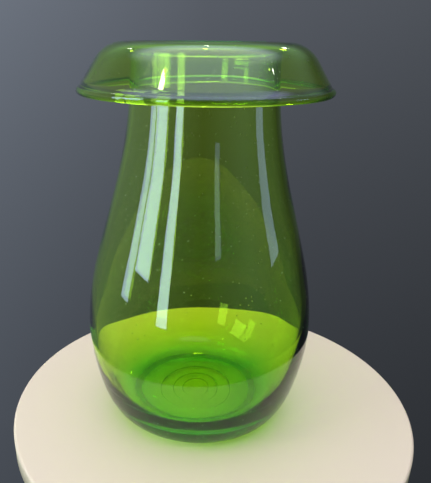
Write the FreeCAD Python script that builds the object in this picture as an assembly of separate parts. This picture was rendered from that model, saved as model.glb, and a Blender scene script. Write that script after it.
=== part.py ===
import FreeCAD, Part
import math
import os

# Hand-blown green glass vase with a heavy base and a wide rim that is turned down over its neck.
# Millimetres, +Z up. The origin is the centre of the foot, on the surface that the vase stands on.
# The glass is a body of revolution about Z. It is one blown piece, so the solids below are the zones
# that the glassmaker makes one after another. They meet face to face.

# ---- driving dimensions ---------------------------------------------------------------------------
VASE_HEIGHT = 385.0          # table to the crest of the rolled rim
FOOT_OUTER_RADIUS = 72.0     # flat ground ring that touches the table
FOOT_INNER_RADIUS = 64.0
FLOOR_Z = 12.5               # top of the heavy base, on the axis

NECK_RADIUS = 69.0           # outside of the neck where it is narrowest
RIM_WALL = 4.5               # glass thickness of the neck top and of the turned-down rim

CREST_RADIUS = 73.3          # radius of the circle along the highest part of the rim
SHOULDER_BEND_RADIUS = 33.5  # bend of the rim's top surface from the crest outwards
SKIRT_SLOPE_DEG = 57.0       # how steeply the rim falls below the bend
SKIRT_LENGTH = 29.5          # straight part of the rim, from the end of the bend to the bead's centre
BEAD_RADIUS = 3.6            # fire-polished bead along the free edge

RING_STEP = 0.6              # height of each round step that the pontil left in the foot's recess
RING_RADII = (15.0, 26.0, 41.0)
RECESS_EDGE_Z = 1.8          # height of the recess just outside the outermost ring

BASE_TOP_Z = 45.0            # planes where one zone ends and the next begins
SHOULDER_TOP_Z = 278.0
NECK_TOP_Z = 352.0
NECK_REACH = 90.0            # a radius between the neck's wall and the rim that hangs round it
BELOW_TABLE = -1.0           # a plane just under the foot

CURVE_DEGREE = 3
FULL_TURN = 360

# Control points of the smooth curves that the wall follows from the foot to the top of the neck, as
# (radius, height). The curves start level at the base and end upright. The wall between them is about
# 18 mm thick at the corner of the base, 7 mm at the belly and 4.5 mm at the neck.
OUTSIDE_CONTROL = [
    (87.0, 0.0),
    (102.0, 16.0),
    (113.0, 52.5),
    (121.0, 100.0),
    (116.0, 150.0),
    (99.5, 210.0),
    (81.5, 268.0),
    (NECK_RADIUS, 330.0),
]
INSIDE_CONTROL = [
    (43.5, FLOOR_Z),
    (86.0, FLOOR_Z + 3.5),
    (105.5, 50.5),
    (114.0, 101.0),
    (111.5, 144.5),
    (96.5, 205.0),
    (77.0, 264.5),
    (NECK_RADIUS - RIM_WALL, 330.0),
]

# ---- sizes worked out from them -------------------------------------------------------------------
THROAT_RADIUS = NECK_RADIUS - RIM_WALL
FOLD_OUTER_RADIUS = CREST_RADIUS - THROAT_RADIUS
FOLD_CENTRE_Z = VASE_HEIGHT - FOLD_OUTER_RADIUS
SHOULDER_CENTRE_Z = VASE_HEIGHT - SHOULDER_BEND_RADIUS
SKIRT_SLOPE = math.radians(SKIRT_SLOPE_DEG)
OUTWARD = (math.sin(SKIRT_SLOPE), math.cos(SKIRT_SLOPE))
DOWNHILL = (math.cos(SKIRT_SLOPE), -math.sin(SKIRT_SLOPE))
BEAD_NECK = math.sqrt(BEAD_RADIUS ** 2 - (RIM_WALL / 2) ** 2)


def point(radius, z):
    return FreeCAD.Vector(radius, 0, z)


def line(start, end):
    return Part.LineSegment(start, end).toShape()


def arc(centre_radius, centre_z, bend, start_deg, end_deg):
    """Arc about a centre in the half-section; angles turn from +r towards +z."""
    def at(degrees):
        angle = math.radians(degrees)
        return point(centre_radius + bend * math.cos(angle), centre_z + bend * math.sin(angle))

    return Part.Arc(at(start_deg), at((start_deg + end_deg) / 2), at(end_deg)).toShape()


def curve(start, control, end):
    """Smooth curve from start to end, drawn towards the control points between them."""
    spline = Part.BSplineCurve()
    poles = [point(radius, z) for radius, z in [start] + control + [end]]
    spline.buildFromPoles(poles, False, CURVE_DEGREE)
    return spline.toShape()


def skirt_point(along, depth):
    """A point of the rim's straight part: along it from the bend, and depth below its top surface."""
    bend = SHOULDER_BEND_RADIUS - depth
    radius = CREST_RADIUS + bend * OUTWARD[0] + along * DOWNHILL[0]
    z = SHOULDER_CENTRE_Z + bend * OUTWARD[1] + along * DOWNHILL[1]
    return point(radius, z)


def underside_edges():
    """From the axis to the foot's inner edge: a shallow recess with round steps, then a gentle cone."""
    corners = []
    height = RECESS_EDGE_Z + RING_STEP * len(RING_RADII)
    radius = 0.0
    for ring_radius in RING_RADII:
        corners.append(point(radius, height))
        corners.append(point(ring_radius, height))
        radius = ring_radius
        height -= RING_STEP
    corners.append(point(radius, RECESS_EDGE_Z))
    corners.append(point(FOOT_INNER_RADIUS, 0))
    corners.append(point(FOOT_OUTER_RADIUS, 0))
    return [line(start, end) for start, end in zip(corners, corners[1:])]


def outside_edges():
    """From the foot up the body and the neck, and along the underside of the turned-down rim."""
    fold_inner_radius = CREST_RADIUS - NECK_RADIUS
    slope_deg = 90 - SKIRT_SLOPE_DEG
    return [
        curve((FOOT_OUTER_RADIUS, 0), OUTSIDE_CONTROL, (NECK_RADIUS, FOLD_CENTRE_Z)),
        arc(CREST_RADIUS, FOLD_CENTRE_Z, fold_inner_radius, 180, 90),
        arc(CREST_RADIUS, SHOULDER_CENTRE_Z, SHOULDER_BEND_RADIUS - RIM_WALL, 90, slope_deg),
        line(skirt_point(0, RIM_WALL), skirt_point(SKIRT_LENGTH - BEAD_NECK, RIM_WALL)),
    ]


def bead_edge():
    """The round free edge of the rim, from its underside to its top surface."""
    centre = skirt_point(SKIRT_LENGTH, RIM_WALL / 2)
    tip = skirt_point(SKIRT_LENGTH + BEAD_RADIUS, RIM_WALL / 2)
    start = skirt_point(SKIRT_LENGTH - BEAD_NECK, RIM_WALL)
    end = skirt_point(SKIRT_LENGTH - BEAD_NECK, 0)
    assert abs(centre.distanceToPoint(start) - BEAD_RADIUS) < 1e-6
    return Part.Arc(start, tip, end).toShape()


def inside_edges():
    """Back along the rim's top surface, over the crest and down the inside to the axis."""
    slope_deg = 90 - SKIRT_SLOPE_DEG
    return [
        line(skirt_point(SKIRT_LENGTH - BEAD_NECK, 0), skirt_point(0, 0)),
        arc(CREST_RADIUS, SHOULDER_CENTRE_Z, SHOULDER_BEND_RADIUS, slope_deg, 90),
        arc(CREST_RADIUS, FOLD_CENTRE_Z, FOLD_OUTER_RADIUS, 90, 180),
        curve((0, FLOOR_Z), INSIDE_CONTROL, (THROAT_RADIUS, FOLD_CENTRE_Z)),
    ]


def glass_section():
    """Half-section of the whole glass, in the XZ plane, from the axis outwards."""
    recess_top_z = RECESS_EDGE_Z + RING_STEP * len(RING_RADII)
    axis = line(point(0, FLOOR_Z), point(0, recess_top_z))
    edges = underside_edges() + outside_edges() + [bead_edge()] + inside_edges() + [axis]
    return Part.Face(Part.Wire(Part.__sortEdges__(edges)))


def zone(corners):
    """A flat region of the half-section, given by its corners as points."""
    return Part.Face(Part.makePolygon(corners + corners[:1]))


def band(low_z, high_z, reach):
    return zone([point(0, low_z), point(reach, low_z), point(reach, high_z), point(0, high_z)])


def bead_zone():
    """Everything beyond the line across the rim where its wall swells into the bead."""
    margin = 3 * BEAD_RADIUS
    along = SKIRT_LENGTH - BEAD_NECK
    return zone([
        skirt_point(along, -margin),
        skirt_point(along + margin, -margin),
        skirt_point(along + margin, RIM_WALL + margin),
        skirt_point(along, RIM_WALL + margin),
    ])


def revolved(section):
    solid = section.revolve(FreeCAD.Vector(0, 0, 0), FreeCAD.Vector(0, 0, 1), FULL_TURN).Solids[0]
    assert solid.isValid() and solid.Volume > 0
    return solid


def build():
    glass = glass_section()
    reach = VASE_HEIGHT
    sections = {
        "thick_base": glass.common(band(BELOW_TABLE, BASE_TOP_Z, reach)),
        "blown_body": glass.common(band(BASE_TOP_Z, SHOULDER_TOP_Z, reach)),
        "neck": glass.common(band(SHOULDER_TOP_Z, NECK_TOP_Z, NECK_REACH)),
        "lip_bead": glass.common(bead_zone()),
    }
    rim = glass
    for section in sections.values():
        rim = rim.cut(section)
    sections["turned_down_rim"] = rim

    os.makedirs("parts", exist_ok=True)
    total = 0.0
    for name, section in sections.items():
        solid = revolved(section.Faces[0])
        solid.exportStep("parts/" + name + ".step")
        box = solid.optimalBoundingBox(False)
        total += solid.Volume
        extent = f"radius {box.XMax:.1f}, z {box.ZMin:.1f} to {box.ZMax:.1f}"
        print(f"{name}: {solid.Volume / 1000:.1f} cm3, {extent}")
    whole = revolved(glass)
    print(f"zones together {total / 1000:.2f} cm3, glass in one {whole.Volume / 1000:.2f} cm3")


build()
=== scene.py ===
import math

import bpy
import numpy as np
from mathutils import Matrix, Vector


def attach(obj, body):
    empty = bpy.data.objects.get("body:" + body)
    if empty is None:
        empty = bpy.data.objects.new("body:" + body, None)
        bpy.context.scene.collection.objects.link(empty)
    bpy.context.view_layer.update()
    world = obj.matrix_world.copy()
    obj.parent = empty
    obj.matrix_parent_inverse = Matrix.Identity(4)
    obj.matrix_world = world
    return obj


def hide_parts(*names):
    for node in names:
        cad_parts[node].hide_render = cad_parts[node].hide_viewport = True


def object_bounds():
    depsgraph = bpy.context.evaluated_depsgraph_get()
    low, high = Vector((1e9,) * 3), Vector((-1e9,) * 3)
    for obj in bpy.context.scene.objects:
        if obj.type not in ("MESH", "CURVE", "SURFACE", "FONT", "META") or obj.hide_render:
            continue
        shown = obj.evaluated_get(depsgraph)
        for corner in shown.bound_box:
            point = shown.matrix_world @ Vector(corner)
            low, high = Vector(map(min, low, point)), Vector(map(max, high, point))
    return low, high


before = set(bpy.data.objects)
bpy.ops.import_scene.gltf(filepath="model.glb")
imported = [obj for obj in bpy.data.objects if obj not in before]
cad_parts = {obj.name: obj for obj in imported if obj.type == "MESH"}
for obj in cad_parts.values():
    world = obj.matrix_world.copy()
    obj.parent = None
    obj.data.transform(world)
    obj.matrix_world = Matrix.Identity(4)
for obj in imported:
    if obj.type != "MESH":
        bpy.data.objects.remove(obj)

# Looks of the hand-blown green glass vase, in metres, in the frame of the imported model.
# The real vase is one piece of glass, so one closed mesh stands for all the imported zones: a seam between
# two zones would refract light that the real vase lets straight through.

CAD_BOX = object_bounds()
VASE_HEIGHT = CAD_BOX[1].z

# ---- outline of the glass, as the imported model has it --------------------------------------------
MM = 0.001
FOOT_OUTER_RADIUS = 72 * MM
FOOT_INNER_RADIUS = 64 * MM
FLOOR_Z = 12.5 * MM
NECK_RADIUS = 69 * MM
RIM_WALL = 4.5 * MM
CREST_RADIUS = 73.3 * MM
SHOULDER_BEND_RADIUS = 33.5 * MM
SKIRT_SLOPE = math.radians(57)
SKIRT_LENGTH = 29.5 * MM
BEAD_RADIUS = 3.6 * MM
RING_STEP = 0.6 * MM
RING_RADII = (15 * MM, 26 * MM, 41 * MM)
RECESS_EDGE_Z = 1.8 * MM
RING_SOFTNESS = 0.25 * MM      # how far each pontil ring's step is melted round

OUTSIDE_CONTROL_MM = [(87, 0), (102, 16), (113, 52.5), (121, 100),
                      (116, 150), (99.5, 210), (81.5, 268), (69, 330)]
INSIDE_CONTROL_MM = [(43.5, 12.5), (86, 16), (105.5, 50.5), (114, 101),
                     (111.5, 144.5), (96.5, 205), (77, 264.5), (64.5, 330)]

THROAT_RADIUS = NECK_RADIUS - RIM_WALL
FOLD_OUTER_RADIUS = CREST_RADIUS - THROAT_RADIUS
FOLD_INNER_RADIUS = CREST_RADIUS - NECK_RADIUS
FOLD_CENTRE_Z = VASE_HEIGHT - FOLD_OUTER_RADIUS
SHOULDER_CENTRE_Z = VASE_HEIGHT - SHOULDER_BEND_RADIUS
BEAD_NECK = math.sqrt(BEAD_RADIUS ** 2 - (RIM_WALL / 2) ** 2)
OUTWARD = np.array([math.sin(SKIRT_SLOPE), math.cos(SKIRT_SLOPE)])        # square to the rim's straight part
DOWNHILL = np.array([math.cos(SKIRT_SLOPE), -math.sin(SKIRT_SLOPE)])      # and down along it

CURVE_DEGREE = 3
SIDES = 240                   # facets round the vase, and round the table top
SAME_POINT = 1e-6             # points closer together than this are one

# ---- points along each stretch of the outline ----------------------------------------------------
INSIDE_POINTS = 100
OUTSIDE_POINTS = 110
SKIRT_POINTS = 6
BEAD_POINTS = 15
TOP_FOLD_POINTS = 10
TOP_BEND_POINTS = 14
UNDER_FOLD_POINTS = 8
UNDER_BEND_POINTS = 12
FOOT_POINTS = 5
RECESS_POINTS = 24
RECESS_START = 62 * MM        # radius of the recess's first point inside the foot ring
RING_POINTS = 13              # across the step of each pontil ring,
RING_REACH = 1.8              # and how far they reach to each side of it, in RING_SOFTNESS
EDGE_POINTS = 8               # round the edge of the table top

# ---- how the hand-blown glass strays from a true turned shape ------------------------------------
BOWL_SHIFT = -2.4 * MM        # the bowl inside the base is this far off centre along x
BOWL_SHIFT_END = 230 * MM     # height where the inside is centred again
RIPPLE_DEPTH = 0.35 * MM      # deepest dip of the faint ripples in both surfaces
RIPPLES = [(3, 40.0, 0.0), (5, -72.0, 1.0), (2, 95.0, 2.3)]     # lobes round, radians per metre along, start
RIPPLE_FADE = 90 * MM         # the ripples fade out nearer than this to the axis or to the table

# ---- surface of the glass ------------------------------------------------------------------------
GLASS_IOR = 1.5
GLASS_COLOR = (0.835, 0.963, 0.0, 1)   # the glass absorbs its density times one minus this, per metre
GLASS_DENSITY = 300
CLEAR = (1, 1, 1, 1)          # its surface, where it is clean
SMEAR_ROUGHNESS = 0.02        # where the vase has been handled
SMEAR_SCALE = 22              # how densely the smears lie, per metre
SMEAR_DETAIL = 4
SMEAR_GRAIN = 0.6             # share that each finer layer of the smears adds
SMEAR_RANGE = (0.50, 0.72)    # noise values between which a smear sets in
GROUND_ROUGHNESS = 0.35       # foot ring, ground flat
# painted shade: the ground foot ring and its worn edge are tinted darker where the glass meets the table
GROUND_RING_SHADE = (0.70, 0.75, 0.66, 1)
GROUND_SOFTNESS = 3 * MM      # how far its inner edge fades out to each side
WEAR_REACH = 8 * MM           # and how far scratches from tables reach past its outer edge,
WEAR_HEIGHTS = (0.1 * MM, 1.5 * MM)    # and up the rounded corner
RING_SHADE_TINT = (0.10, 0.14, 0.06, 1)      # painted shade: dark lines in the steps of the pontil rings, at the back
RING_SHADE_WIDTH = 2 * MM           # how far it reaches to each side of a step,
RING_SHADE_FADE = 14 * MM           # and how far behind the axis it is at its full strength
RING_SHADE_HEIGHTS = (4 * MM, 6 * MM)        # it lies on the underside, below these, and not on the inside above
SKIN_DEPTH = 0.03 * MM        # height of the unevenness that fire polishing leaves
SKIN_SCALE = 45               # how densely its waves lie, per metre
SKIN_DETAIL = 1.5
SKIN_STRETCH = (1, 1, 0.3)    # it is drawn out upwards
SEEDS_PER_METRE = 120         # cells of a pattern with one tiny bubble or grain of dust in each
SEED_REACH = 0.08             # radius of a seed, in cells of the pattern
SEED_DEPTH = 0.25 * MM        # how far a seed lifts the skin
SEED_ROUGHNESS = 0.8          # a seed or a grain of dust scatters the light

# ---- stage ---------------------------------------------------------------------------------------
TABLE_RADIUS = 0.58 * VASE_HEIGHT
TABLE_CENTRE = (0.043 * VASE_HEIGHT, -0.005 * VASE_HEIGHT)
TABLE_THICKNESS = 22 * MM
TABLE_EDGE = 3 * MM
TABLE_COLOR = (0.71, 0.54, 0.29, 1)
TABLE_ROUGHNESS = 0.6
CONTACT_GAP = 0.15 * MM       # air between the glass and the table, which keeps the two from merging

# ---- camera --------------------------------------------------------------------------------------
CAMERA_DISTANCE = 1.4018 * VASE_HEIGHT
CAMERA_HEIGHT = 1.0056 * VASE_HEIGHT
CAMERA_PITCH = math.radians(23.34)
CAMERA_ROLL = math.radians(0.55)
CAMERA_YAW = math.radians(2.57)
CAMERA_LENS = 40.91           # focal length and sensor width, both in millimetres as Blender wants them
SENSOR_WIDTH = 36
CAMERA_SHIFT = (0.0797, 0.0695)
NEAREST_SEEN = 10 * MM

# ---- light ---------------------------------------------------------------------------------------
# A plain studio. Azimuth 0 is behind the camera, 90 is to the right and 180 behind the vase, in degrees.
WALL_FADE = 1.35              # how fast the backdrop brightens upwards,
WALL_FADE_TOP = 0.05          # to this height of a unit direction, just above the horizon
WALLS = [                     # azimuth and colour of a dark backdrop that is lighter to the left
    (-180, (0.09, 0.10, 0.12)),
    (-140, (0.19, 0.22, 0.27)),
    (-90, (0.42, 0.52, 0.66)),
    (0, (0.10, 0.14, 0.10)),
    (58, (0.32, 0.48, 0.48)),
    (130, (0.04, 0.045, 0.05)),
    (180, (0.09, 0.10, 0.12)),
]
UPPER_WALLS = (0.28, 0.40, 0.44)
CEILING = (2.0, 2.1, 3.8)
UPPER_WALLS_RISE = (16, 34)   # elevations between which the walls turn into their even upper part,
CEILING_RISE = (42, 60)       # and that into the pale ceiling
DAYLIGHT = (0.52, 0.67, 0.96)          # colour of the soft boxes
# Azimuth of left and right edge, height of bottom and top in metres, radiance, and whether the box is seen
# through the glass as well as mirrored in it. The fill isn't: from the left it would be a square in the vase.
SOFTBOXES = [
    ("key_left", -84, -74, -0.10, 1.6, 8),
    ("key_right", -72.5, -54, 0.25, 1.6, 11),
    ("tall_strip", -41, -30, -0.15, 0.9, 11),
    ("front_strip", 16.5, 23, 0.64, 1.05, 2),
    ("fill", 81, 95, 0.2, 0.6, 3.0, False),
]
SOFTBOX_DISTANCE = 2.2
BODY_RADIUS = 0.09            # the soft boxes are set out from the part of the body that mirrors them
LAMPLIGHT = (1.0, 0.98, 0.86)          # colour of the small lamps overhead
LAMPS = [                     # azimuth, elevation, width and height in degrees, and radiance
    ("lamp_front", -57, 55, 5, 3, 30),
    ("lamp_side", 87, 46, 2, 1, 30),
    ("lamp_back", 180, 50, 2, 2, 30),
    ("lamp_back_left", -147, 39, 2, 2, 20),
    ("lamp_back_right", 156, 32, 3, 2, 30),
]
LAMP_DISTANCE = 30.0          # so far that all of the rim mirrors them from nearly the same direction
RIM_HEIGHT = 0.36             # they are set out from the axis at this height


def spline(poles, samples):
    """Points along the clamped, uniform cubic B-spline that these control points draw."""
    poles = np.array(poles, float)
    spans = len(poles) - CURVE_DEGREE
    knots = np.concatenate([np.zeros(CURVE_DEGREE), np.arange(spans + 1), np.full(CURVE_DEGREE, spans)])
    points = []
    for t in np.linspace(0, spans, samples):
        span = min(int(t), spans - 1)
        local = [poles[span + i] for i in range(CURVE_DEGREE + 1)]
        for level in range(1, CURVE_DEGREE + 1):
            for i in range(CURVE_DEGREE, level - 1, -1):
                low = knots[span + i]
                high = knots[span + i + CURVE_DEGREE + 1 - level]
                share = (t - low) / (high - low)
                local[i] = (1 - share) * local[i - 1] + share * local[i]
        points.append(local[CURVE_DEGREE])
    return points


def arc(centre, bend, start_deg, end_deg, samples):
    """Points along an arc in the half-section; angles turn from +r towards +z."""
    angles = np.radians(np.linspace(start_deg, end_deg, samples))
    return [np.array(centre) + bend * np.array([math.cos(a), math.sin(a)]) for a in angles]


def straight(start, end, samples):
    return [start + (end - start) * share for share in np.linspace(0, 1, samples)]


def skirt_point(along, depth):
    """A point of the rim's straight part: along it from the bend, and depth below its top surface."""
    centre = np.array([CREST_RADIUS, SHOULDER_CENTRE_Z])
    return centre + (SHOULDER_BEND_RADIUS - depth) * OUTWARD + along * DOWNHILL


def inside_wall():
    """From the middle of the floor up to the throat."""
    control = [(r * MM, z * MM) for r, z in INSIDE_CONTROL_MM]
    return spline([(0, FLOOR_Z)] + control + [(THROAT_RADIUS, FOLD_CENTRE_Z)], INSIDE_POINTS)


def rim_top():
    """Over the fold's crest and down the top of the rim to the bead."""
    slope_deg = 90 - math.degrees(SKIRT_SLOPE)
    fold = arc((CREST_RADIUS, FOLD_CENTRE_Z), FOLD_OUTER_RADIUS, 180, 90, TOP_FOLD_POINTS)
    bend = arc((CREST_RADIUS, SHOULDER_CENTRE_Z), SHOULDER_BEND_RADIUS, 90, slope_deg, TOP_BEND_POINTS)
    skirt_end = skirt_point(SKIRT_LENGTH - BEAD_NECK, 0)
    return fold + bend + straight(skirt_point(0, 0), skirt_end, SKIRT_POINTS)


def bead():
    """Round the free edge of the rim."""
    centre = skirt_point(SKIRT_LENGTH, RIM_WALL / 2)
    neck_angle = math.asin(RIM_WALL / 2 / BEAD_RADIUS)
    points = []
    for turn in np.linspace(math.pi - neck_angle, neck_angle - math.pi, BEAD_POINTS):
        points.append(centre + BEAD_RADIUS * (math.cos(turn) * DOWNHILL + math.sin(turn) * OUTWARD))
    return points


def rim_underside():
    """Back up under the rim to the neck."""
    slope_deg = 90 - math.degrees(SKIRT_SLOPE)
    start = skirt_point(SKIRT_LENGTH - BEAD_NECK, RIM_WALL)
    bend_radius = SHOULDER_BEND_RADIUS - RIM_WALL
    bend = arc((CREST_RADIUS, SHOULDER_CENTRE_Z), bend_radius, slope_deg, 90, UNDER_BEND_POINTS)
    fold = arc((CREST_RADIUS, FOLD_CENTRE_Z), FOLD_INNER_RADIUS, 90, 180, UNDER_FOLD_POINTS)
    return straight(start, skirt_point(0, RIM_WALL), SKIRT_POINTS) + bend + fold


def outside_wall():
    """Down the neck and the body to the foot."""
    control = [(r * MM, z * MM) for r, z in OUTSIDE_CONTROL_MM]
    poles = [(FOOT_OUTER_RADIUS, 0)] + control + [(NECK_RADIUS, FOLD_CENTRE_Z)]
    return spline(poles, OUTSIDE_POINTS)[::-1]


def underside():
    """Across the flat foot ring and the shallow recess with its melted pontil rings, to the axis."""
    radii = list(np.linspace(FOOT_OUTER_RADIUS, FOOT_INNER_RADIUS, FOOT_POINTS))
    radii += list(np.linspace(RECESS_START, 0, RECESS_POINTS))
    for ring_radius in RING_RADII:
        radii += list(ring_radius + RING_SOFTNESS * np.linspace(-RING_REACH, RING_REACH, RING_POINTS))
    points = []
    for radius in sorted(radii, reverse=True):
        slope = (FOOT_INNER_RADIUS - radius) / (FOOT_INNER_RADIUS - RING_RADII[-1])
        height = RECESS_EDGE_Z * min(max(slope, 0), 1)
        for ring_radius in RING_RADII:
            height += RING_STEP * (1 - math.tanh(2 * (radius - ring_radius) / RING_SOFTNESS)) / 2
        points.append(np.array([radius, height]))
    return points


def outline():
    """The whole half-section from the axis round to the axis, with no point twice."""
    points = []
    for stretch in (inside_wall(), rim_top(), bead(), rim_underside(), outside_wall(), underside()):
        for point in stretch:
            if not points or np.linalg.norm(point - points[-1]) > SAME_POINT:
                points.append(point)
    return np.array(points)


def bowl_shift(section):
    """How far each ring of the section is off centre along x: only the inside of the body is."""
    shifts = np.zeros(len(section))
    inside = len(inside_wall())
    fade = np.clip(1 - section[:inside, 1] / BOWL_SHIFT_END, 0, 1)
    shifts[:inside] = BOWL_SHIFT * fade * fade * (3 - 2 * fade)
    return shifts


def ripple(section, angles):
    """How far the ripples draw the surface in towards the axis, so that nothing leaves the CAD box."""
    steps = np.linalg.norm(np.diff(section, axis=0), axis=1)
    along = np.concatenate([[0], np.cumsum(steps)])[:, None]
    waves = sum(np.sin(lobes * angles + rate * along + start) for lobes, rate, start in RIPPLES)
    depth = RIPPLE_DEPTH * (waves + len(RIPPLES)) / (2 * len(RIPPLES))
    away_from_axis = np.clip(section[:, 0] / RIPPLE_FADE, 0, 1) ** 2
    away_from_foot = np.clip(section[:, 1] / RIPPLE_FADE, 0, 1)
    return depth * (away_from_axis * away_from_foot)[:, None]


def lathe(name, section, hand_blown=False):
    """A closed, smooth mesh whose section starts and ends on the axis. Hand-blown, it strays from true."""
    ring_count = len(section) - 2
    angles = np.arange(SIDES) * 2 * math.pi / SIDES
    radii = np.repeat(section[:, 0][:, None], SIDES, axis=1)
    centres = np.zeros(len(section))
    if hand_blown:
        radii = radii - ripple(section, angles)
        centres = bowl_shift(section)
    heights = np.repeat(section[:, 1][:, None], SIDES, axis=1)
    rings = np.stack([centres[:, None] + radii * np.cos(angles), radii * np.sin(angles), heights], axis=-1)
    ends = [(centres[i], 0, section[i, 1]) for i in (0, -1)]
    vertices = ends[:1] + rings[1:-1].reshape(-1, 3).tolist() + ends[1:]
    last = len(vertices) - 1

    def at(ring, side):
        return 1 + ring * SIDES + side % SIDES

    faces = [(0, at(0, side), at(0, side + 1)) for side in range(SIDES)]
    for ring in range(ring_count - 1):
        for side in range(SIDES):
            faces.append((at(ring, side), at(ring + 1, side), at(ring + 1, side + 1), at(ring, side + 1)))
    faces += [(last, at(ring_count - 1, side + 1), at(ring_count - 1, side)) for side in range(SIDES)]
    mesh = bpy.data.meshes.new(name)
    mesh.from_pydata(vertices, [], faces)
    mesh.shade_smooth()
    piece = bpy.data.objects.new(name, mesh)
    bpy.context.scene.collection.objects.link(piece)
    return piece


def math_node(tree, operation, *values):
    """The result of a Math node; each value is a number or another node's output."""
    node = tree.nodes.new("ShaderNodeMath")
    node.operation = operation
    for socket, value in zip(node.inputs, values):
        if isinstance(value, bpy.types.NodeSocket):
            tree.links.new(value, socket)
        else:
            socket.default_value = value
    return node.outputs["Value"]


def smooth_step(tree, value, start, end, low, high):
    """Turns smoothly from low, where the value is at start, to high, where it is at end."""
    node = tree.nodes.new("ShaderNodeMapRange")
    node.interpolation_type = "SMOOTHSTEP"
    for name, setting in (("From Min", start), ("From Max", end), ("To Min", low), ("To Max", high)):
        node.inputs[name].default_value = setting
    tree.links.new(value, node.inputs["Value"])
    return node.outputs["Result"]


def blend(tree, share, color, other):
    """The first colour where share is 0, the other where it is 1."""
    node = tree.nodes.new("ShaderNodeMix")
    node.data_type = "RGBA"
    tree.links.new(share, node.inputs["Factor"])
    for name, value in (("A", color), ("B", other)):
        if isinstance(value, bpy.types.NodeSocket):
            tree.links.new(value, node.inputs[name])
        else:
            node.inputs[name].default_value = value
    return node.outputs["Result"]


def noise(tree, place, scale, detail):
    """A Noise texture node, so that a caller can set more on it."""
    node = tree.nodes.new("ShaderNodeTexNoise")
    node.inputs["Scale"].default_value = scale
    node.inputs["Detail"].default_value = detail
    tree.links.new(place, node.inputs["Vector"])
    return node


def ground_ring(tree, radius, height):
    """1 on the flat ground foot ring, fading out over the wear on both sides of it."""
    low = smooth_step(tree, height, *WEAR_HEIGHTS, 1, 0)
    inner = smooth_step(tree, radius, FOOT_INNER_RADIUS - GROUND_SOFTNESS,
                        FOOT_INNER_RADIUS + GROUND_SOFTNESS, 0, 1)
    outer = smooth_step(tree, radius, FOOT_OUTER_RADIUS, FOOT_OUTER_RADIUS + WEAR_REACH, 1, 0)
    return math_node(tree, "MULTIPLY", low, math_node(tree, "MULTIPLY", inner, outer))


def painted_ring_shade(tree, radius, height, depth):
    """1 in the steps of the pontil rings, on the back half of the underside, where dark shade is painted."""
    ring_shade = 0.0
    for ring_radius in RING_RADII:
        distance = math_node(tree, "ABSOLUTE", math_node(tree, "SUBTRACT", radius, ring_radius))
        ring_shade = math_node(tree, "MAXIMUM", ring_shade, smooth_step(tree, distance, 0, RING_SHADE_WIDTH, 1, 0))
    ring_shade = math_node(tree, "MULTIPLY", ring_shade, smooth_step(tree, height, *RING_SHADE_HEIGHTS, 1, 0))
    return math_node(tree, "MULTIPLY", ring_shade, smooth_step(tree, depth, 0, RING_SHADE_FADE, 0, 1))


def green_glass():
    """Solid green soda glass: clear where it is thin, and deep green where light goes far through it.

    Its surfaces are fire-polished and faintly uneven, and hold a few seeds. The foot ring is ground matt, and
    painted darker as shade where it meets the table; dark shade is also painted in the steps of the pontil
    rings at the back.
    """
    material = bpy.data.materials.new("green_glass")
    material.use_nodes = True
    tree = material.node_tree
    links = tree.links
    surface = tree.nodes["Principled BSDF"]
    surface.inputs["IOR"].default_value = GLASS_IOR
    surface.inputs["Transmission Weight"].default_value = 1.0
    absorption = tree.nodes.new("ShaderNodeVolumeAbsorption")
    absorption.inputs["Color"].default_value = GLASS_COLOR
    absorption.inputs["Density"].default_value = GLASS_DENSITY
    links.new(absorption.outputs["Volume"], tree.nodes["Material Output"].inputs["Volume"])

    place = tree.nodes.new("ShaderNodeTexCoord").outputs["Object"]
    parts = tree.nodes.new("ShaderNodeSeparateXYZ")
    links.new(place, parts.inputs["Vector"])
    squares = [math_node(tree, "POWER", parts.outputs[axis], 2) for axis in "XY"]
    radius = math_node(tree, "SQRT", math_node(tree, "ADD", *squares))
    height = parts.outputs["Z"]
    ground = ground_ring(tree, radius, height)

    smears = noise(tree, place, SMEAR_SCALE, SMEAR_DETAIL)
    smears.inputs["Roughness"].default_value = SMEAR_GRAIN
    handled = smooth_step(tree, smears.outputs["Fac"], *SMEAR_RANGE, 0.0, SMEAR_ROUGHNESS)
    cells = tree.nodes.new("ShaderNodeTexVoronoi")
    cells.inputs["Scale"].default_value = SEEDS_PER_METRE
    links.new(place, cells.inputs["Vector"])
    seeds = smooth_step(tree, cells.outputs["Distance"], 0.0, SEED_REACH, 1, 0)
    roughness = math_node(tree, "MAXIMUM", handled, math_node(tree, "MULTIPLY", ground, GROUND_ROUGHNESS))
    roughness = math_node(tree, "MAXIMUM", roughness, math_node(tree, "MULTIPLY", seeds, SEED_ROUGHNESS))
    links.new(roughness, surface.inputs["Roughness"])

    # painted shade: dark lines in the pontil ring steps at the back, and a darker foot ring where it meets
    # the table
    ring_shade = painted_ring_shade(tree, radius, height, parts.outputs["Y"])
    color = blend(tree, ring_shade, blend(tree, ground, CLEAR, GROUND_RING_SHADE), RING_SHADE_TINT)
    links.new(color, surface.inputs["Base Color"])

    stretch = tree.nodes.new("ShaderNodeMapping")
    stretch.inputs["Scale"].default_value = SKIN_STRETCH
    links.new(place, stretch.inputs["Vector"])
    skin = noise(tree, stretch.outputs["Vector"], SKIN_SCALE, SKIN_DETAIL)
    relief = math_node(tree, "ADD", math_node(tree, "MULTIPLY", skin.outputs["Fac"], SKIN_DEPTH),
                       math_node(tree, "MULTIPLY", seeds, SEED_DEPTH))
    bump = tree.nodes.new("ShaderNodeBump")
    bump.inputs["Distance"].default_value = 1
    links.new(relief, bump.inputs["Height"])
    links.new(bump.outputs["Normal"], surface.inputs["Normal"])
    return material


def pale_floor():
    material = bpy.data.materials.new("pale_floor")
    material.use_nodes = True
    surface = material.node_tree.nodes["Principled BSDF"]
    surface.inputs["Base Color"].default_value = TABLE_COLOR
    surface.inputs["Roughness"].default_value = TABLE_ROUGHNESS
    return material


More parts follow.
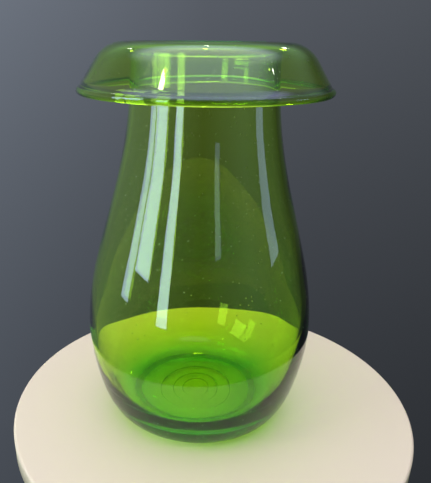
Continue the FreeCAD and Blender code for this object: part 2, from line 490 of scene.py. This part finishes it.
def build_vase():
    vase = lathe("vase", outline(), hand_blown=True)
    vase.data.materials.append(green_glass())
    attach(vase, "root")
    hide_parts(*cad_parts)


def build_table():
    """The plain pale floor: a round top with a rounded edge, which is also seen through the glass."""
    edge = arc((TABLE_RADIUS - TABLE_EDGE, -TABLE_EDGE), TABLE_EDGE, 90, 0, EDGE_POINTS)
    section = [np.array([0, 0])] + edge
    section += [np.array([TABLE_RADIUS, -TABLE_THICKNESS]), np.array([0, -TABLE_THICKNESS])]
    table = lathe("floor", np.array(section))
    table.location = (*TABLE_CENTRE, -CONTACT_GAP)
    table.data.materials.append(pale_floor())


def build_world():
    """A plain dark backdrop, lighter to the left, under a pale ceiling."""
    world = bpy.data.worlds.new("studio")
    world.use_nodes = True
    tree = world.node_tree
    links = tree.links
    direction = tree.nodes.new("ShaderNodeSeparateXYZ")
    links.new(tree.nodes.new("ShaderNodeTexCoord").outputs["Generated"], direction.inputs["Vector"])
    backwards = math_node(tree, "MULTIPLY", direction.outputs["Y"], -1)
    turn = math_node(tree, "ARCTAN2", direction.outputs["X"], backwards)
    share = math_node(tree, "ADD", math_node(tree, "DIVIDE", turn, 2 * math.pi), 0.5)
    low = math_node(tree, "MINIMUM", direction.outputs["Z"], WALL_FADE_TOP)
    fade = math_node(tree, "EXPONENT", math_node(tree, "MULTIPLY", low, WALL_FADE))
    ramp = tree.nodes.new("ShaderNodeValToRGB")
    elements = ramp.color_ramp.elements
    while len(elements) < len(WALLS):
        elements.new(0.5)
    for element, (azimuth, color) in zip(elements, WALLS):
        element.position = azimuth / 360 + 0.5
        element.color = (*color, 1)
    links.new(share, ramp.inputs["Fac"])
    walls = tree.nodes.new("ShaderNodeVectorMath")
    walls.operation = "SCALE"
    links.new(ramp.outputs["Color"], walls.inputs[0])
    links.new(fade, walls.inputs["Scale"])
    room = walls.outputs["Vector"]
    for rise, color in ((UPPER_WALLS_RISE, UPPER_WALLS), (CEILING_RISE, CEILING)):
        start, end = (math.sin(math.radians(elevation)) for elevation in rise)
        room = blend(tree, smooth_step(tree, direction.outputs["Z"], start, end, 0, 1), room, (*color, 1))
    links.new(room, tree.nodes["Background"].inputs["Color"])
    bpy.context.scene.world = world


def area_light(name, place, toward, width, height, radiance, color, through_glass=True):
    """A rectangular light that faces this way. Its energy is its radiance times pi times its area."""
    light = bpy.data.lights.new(name, "AREA")
    light.shape = "RECTANGLE"
    light.size = width
    light.size_y = height
    light.energy = radiance * math.pi * width * height
    light.color = color
    holder = bpy.data.objects.new(name, light)
    holder.location = place
    holder.rotation_mode = "QUATERNION"
    holder.rotation_quaternion = toward.to_track_quat("-Z", "Y")
    holder.visible_transmission = through_glass
    bpy.context.scene.collection.objects.link(holder)


def flat_direction(azimuth):
    """The level direction at this azimuth."""
    return Vector((math.sin(math.radians(azimuth)), -math.cos(math.radians(azimuth)), 0))


def softbox(name, left, right, bottom, top, radiance, through_glass=True):
    """An upright soft light between these heights, and these azimuths as seen from where it is mirrored."""
    azimuth = (left + right) / 2
    width = 2 * SOFTBOX_DISTANCE * math.tan(math.radians(right - left) / 2)
    mirror = BODY_RADIUS * flat_direction(azimuth / 2)
    place = mirror + SOFTBOX_DISTANCE * flat_direction(azimuth) + Vector((0, 0, (bottom + top) / 2))
    facing = -flat_direction(azimuth)
    area_light(name, place, facing, width, top - bottom, radiance, DAYLIGHT, through_glass)


def lamp(name, azimuth, elevation, width, height, radiance):
    """A small light that faces the rim, this many degrees of azimuth wide and of elevation high."""
    slope = math.radians(elevation)
    toward = math.cos(slope) * flat_direction(azimuth) + Vector((0, 0, math.sin(slope)))
    wide = 2 * LAMP_DISTANCE * math.tan(math.radians(width / 2)) * math.cos(slope)
    high = 2 * LAMP_DISTANCE * math.tan(math.radians(height / 2))
    place = Vector((0, 0, RIM_HEIGHT)) + LAMP_DISTANCE * toward
    area_light(name, place, -toward, wide, high, radiance, LAMPLIGHT)


def build_lights():
    for settings in SOFTBOXES:
        softbox(*settings)
    for settings in LAMPS:
        lamp(*settings)


def build_camera():
    data = bpy.data.cameras.new("camera")
    data.sensor_width = SENSOR_WIDTH
    data.lens = CAMERA_LENS
    data.shift_x, data.shift_y = CAMERA_SHIFT
    data.clip_start = NEAREST_SEEN
    camera = bpy.data.objects.new("camera", data)
    forward = Vector((-math.sin(CAMERA_YAW) * math.cos(CAMERA_PITCH),
                      math.cos(CAMERA_YAW) * math.cos(CAMERA_PITCH),
                      -math.sin(CAMERA_PITCH)))
    right = Vector((math.cos(CAMERA_YAW), math.sin(CAMERA_YAW), 0))
    up = right.cross(forward)
    rolled_right = math.cos(CAMERA_ROLL) * right + math.sin(CAMERA_ROLL) * up
    rolled_up = -math.sin(CAMERA_ROLL) * right + math.cos(CAMERA_ROLL) * up
    turn = Matrix((rolled_right, rolled_up, -forward)).transposed()
    camera.matrix_world = Matrix.Translation((0, -CAMERA_DISTANCE, CAMERA_HEIGHT)) @ turn.to_4x4()
    bpy.context.scene.collection.objects.link(camera)
    bpy.context.scene.camera = camera


build_vase()
build_table()
build_world()
build_camera()
build_lights()

scene = bpy.context.scene
scene.view_settings.view_transform = "Standard"
scene.cycles.max_bounces = 32
scene.cycles.transmission_bounces = 32
scene.cycles.glossy_bounces = 16
scene.cycles.blur_glossy = 0  # blurring would take away the light that the glass lets through onto the floor
